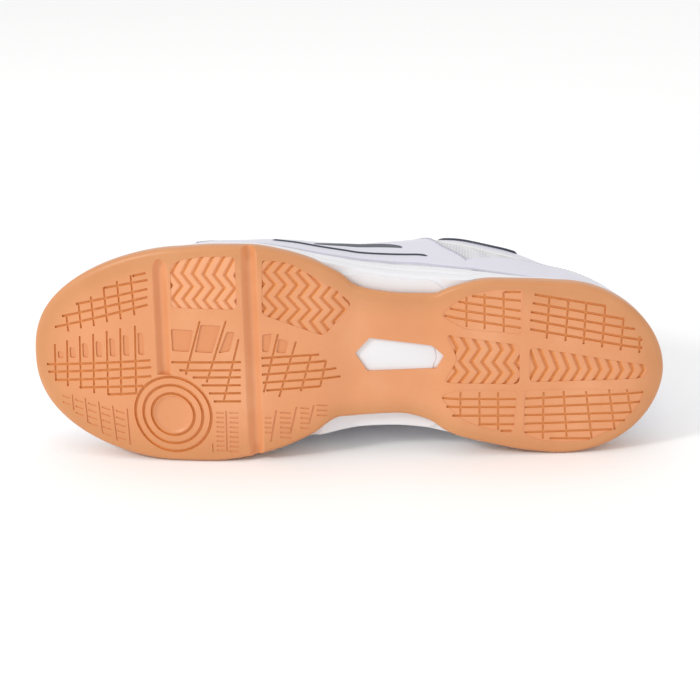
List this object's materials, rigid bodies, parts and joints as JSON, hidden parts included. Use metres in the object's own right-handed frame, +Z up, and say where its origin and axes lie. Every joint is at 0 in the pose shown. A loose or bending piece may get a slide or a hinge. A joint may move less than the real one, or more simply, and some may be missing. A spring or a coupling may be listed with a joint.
{
  "type": "indoor court shoe",
  "caption": "Low indoor court shoe with a gum rubber cup sole, white foam midsole, hollow padded upper, tongue and crossed lace, lying on its inner side.",
  "frame": {"origin": "middle of the bounding box's underside, on the surface that the shoe lies on", "axes": "+X along the shoe from toe to heel, +Z up, which is the outer side of the foot; the sole faces -Y and the collar opens towards +Y"},
  "size_m": [0.2958, 0.1248, 0.1039],
  "materials": {
    "gum_rubber": "satin gum rubber with a fine moulded grain",
    "white_foam": "matt moulded foam",
    "lining": "brushed knit lining",
    "grey_mesh": "light grey mesh",
    "white_leather": "smooth synthetic leather with a fine grain",
    "lace_cotton": "woven flat lace"
  },
  "bodies": {
    "root": {"outsole": "gum_rubber", "midsole": "white_foam", "insole": "lining", "upper": "grey_mesh", "tongue": "grey_mesh", "toe_cap": "white_leather", "eyestay": "white_leather", "heel_counter": "white_leather", "quarter_outer": "white_leather", "quarter_inner": "white_leather", "lace": "lace_cotton"}
  },
  "joints": []
}
